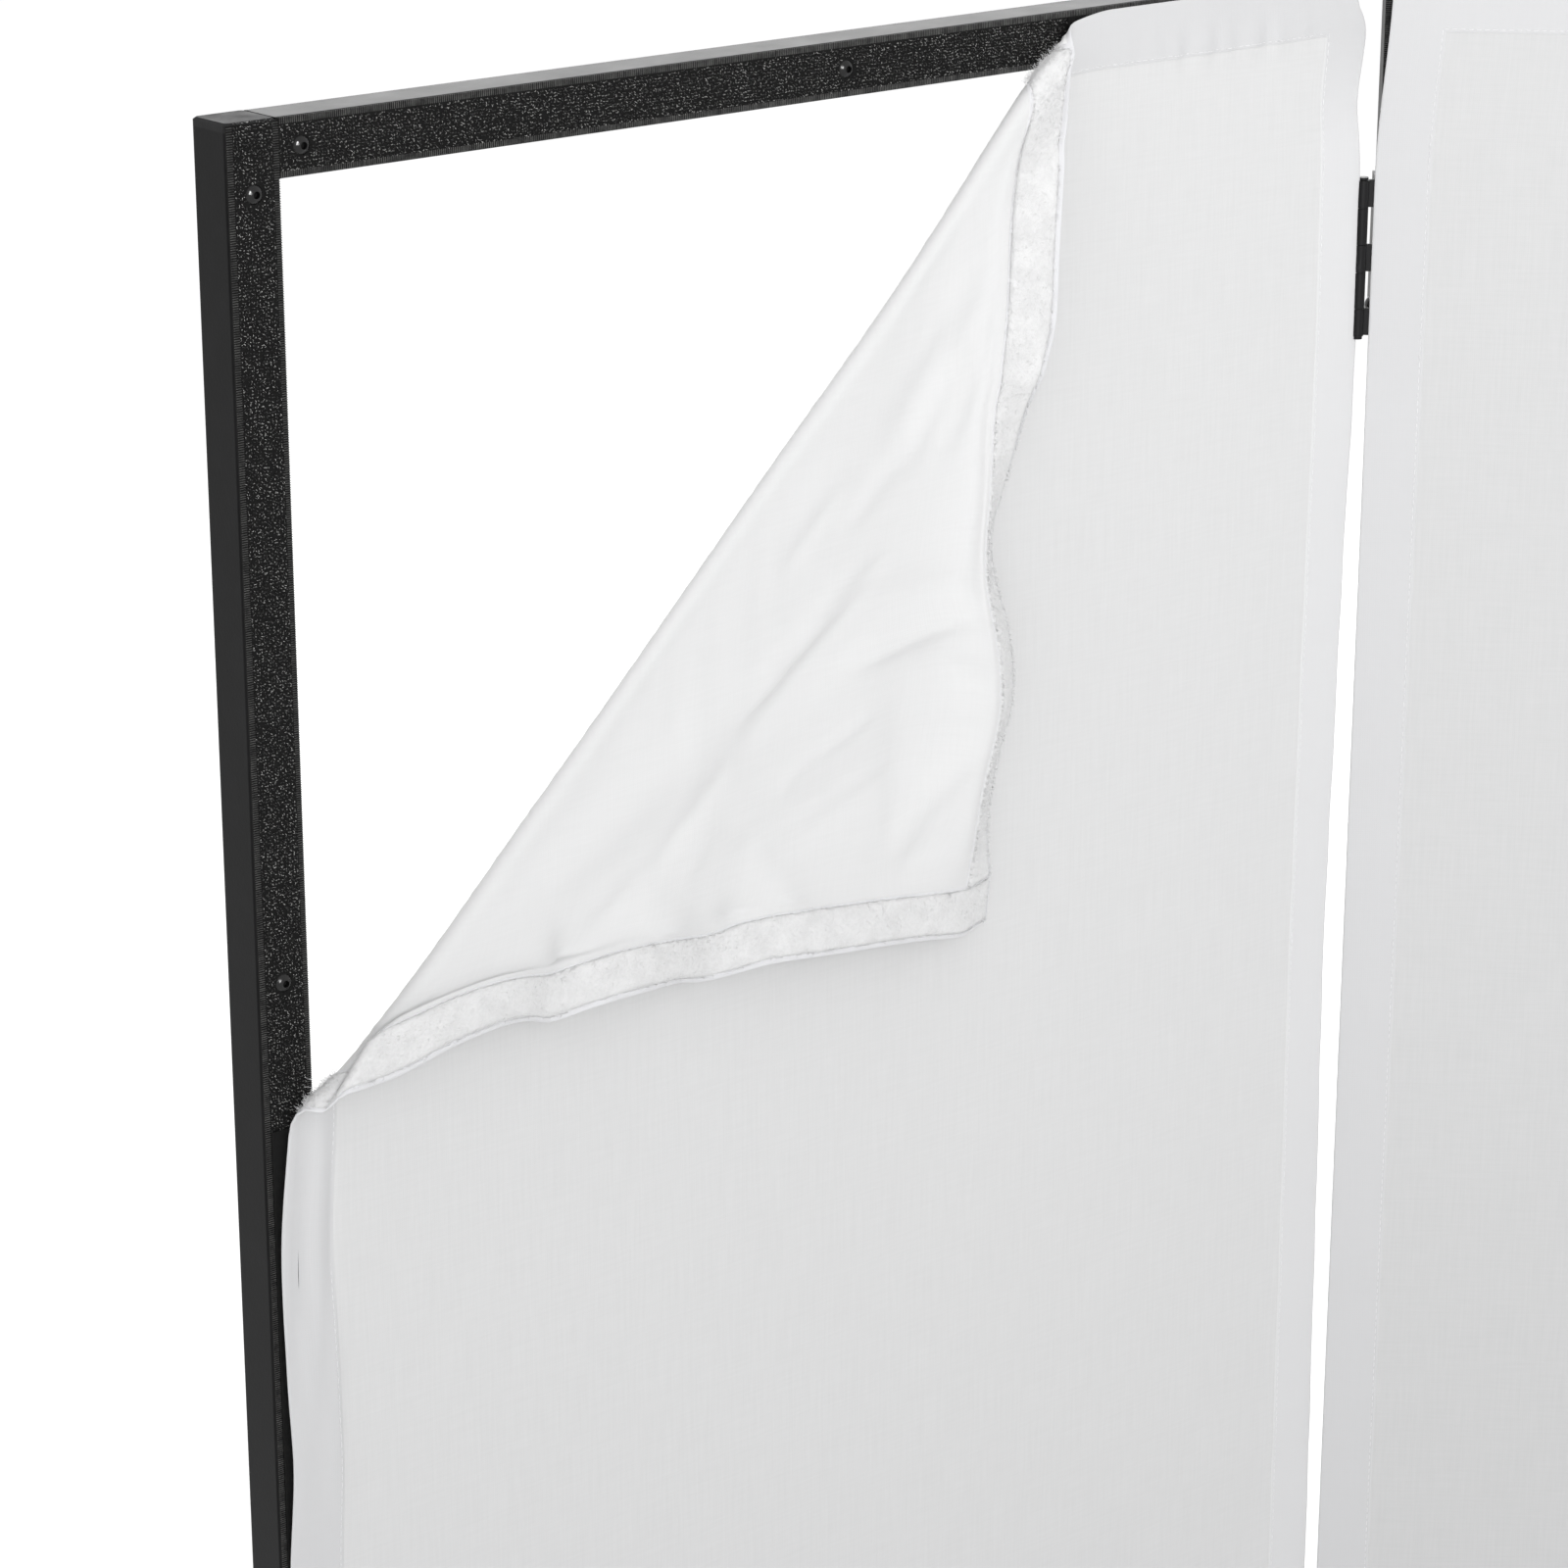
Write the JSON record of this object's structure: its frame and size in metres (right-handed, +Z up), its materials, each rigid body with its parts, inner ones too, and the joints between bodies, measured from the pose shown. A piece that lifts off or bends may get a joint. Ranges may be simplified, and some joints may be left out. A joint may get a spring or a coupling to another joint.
{
  "type": "folding backdrop screen",
  "caption": "Free-standing folding backdrop screen: black square-tube panels on hinges, white scrims pressed onto hook tape, one corner peeled and turned back.",
  "frame": {"origin": "bottom centre of the whole screen's box, as it stands with the second panel turned 43 degrees", "axes": "+Z up; +X along the first panel, towards the second; the first panel's scrim faces -Y"},
  "size_m": [0.937, 0.3876, 1.144],
  "materials": {
    "frame_paint": "satin black powder coat",
    "cap_plastic": "fine matte moulded black plastic",
    "hook_tape": "woven black nylon tape with hooks, speckled with gloss",
    "rivet_black": "gloss black",
    "hinge_black": "satin black paint",
    "scrim": "white plain-weave stretch fabric, slightly translucent",
    "loop_tape": "fuzzy white loop pile"
  },
  "bodies": {
    "panel_1": {"panel_1_left_post": "frame_paint", "panel_1_right_post": "frame_paint", "panel_1_top_rail": "frame_paint", "panel_1_bottom_rail": "frame_paint", "panel_1_caps": "cap_plastic", "panel_1_feet": "cap_plastic", "panel_1_left_hook_tape": "hook_tape", "panel_1_right_hook_tape": "hook_tape", "panel_1_top_hook_tape": "hook_tape", "panel_1_bottom_hook_tape": "hook_tape", "panel_1_tape_rivets": "rivet_black", "panel_1_scrim": "scrim", "panel_1_loop_tape": "loop_tape", "panel_1_turned_corner": "scrim", "panel_1_turned_loop_tape": "loop_tape", "upper_hinge_leaf_1": "hinge_black", "upper_hinge_pin": "hinge_black", "upper_hinge_rivets_1": "rivet_black", "lower_hinge_leaf_1": "hinge_black", "lower_hinge_pin": "hinge_black", "lower_hinge_rivets_1": "rivet_black"},
    "panel_2": {"panel_2_left_post": "frame_paint", "panel_2_right_post": "frame_paint", "panel_2_top_rail": "frame_paint", "panel_2_bottom_rail": "frame_paint", "panel_2_caps": "cap_plastic", "panel_2_feet": "cap_plastic", "panel_2_left_hook_tape": "hook_tape", "panel_2_right_hook_tape": "hook_tape", "panel_2_top_hook_tape": "hook_tape", "panel_2_bottom_hook_tape": "hook_tape", "panel_2_tape_rivets": "rivet_black", "panel_2_scrim": "scrim", "panel_2_loop_tape": "loop_tape", "upper_hinge_leaf_2": "hinge_black", "upper_hinge_rivets_2": "rivet_black", "lower_hinge_leaf_2": "hinge_black", "lower_hinge_rivets_2": "rivet_black"}
  },
  "joints": [
    {"name": "fold", "type": "hinge", "parent": "panel_1", "child": "panel_2", "pos_m": [0.06376, 0.17017, 0.572], "axis": [0, 0, -1], "range_deg": [-63, 134], "deforming": ["panel_1_turned_corner", "panel_1_turned_loop_tape"]}
  ]
}
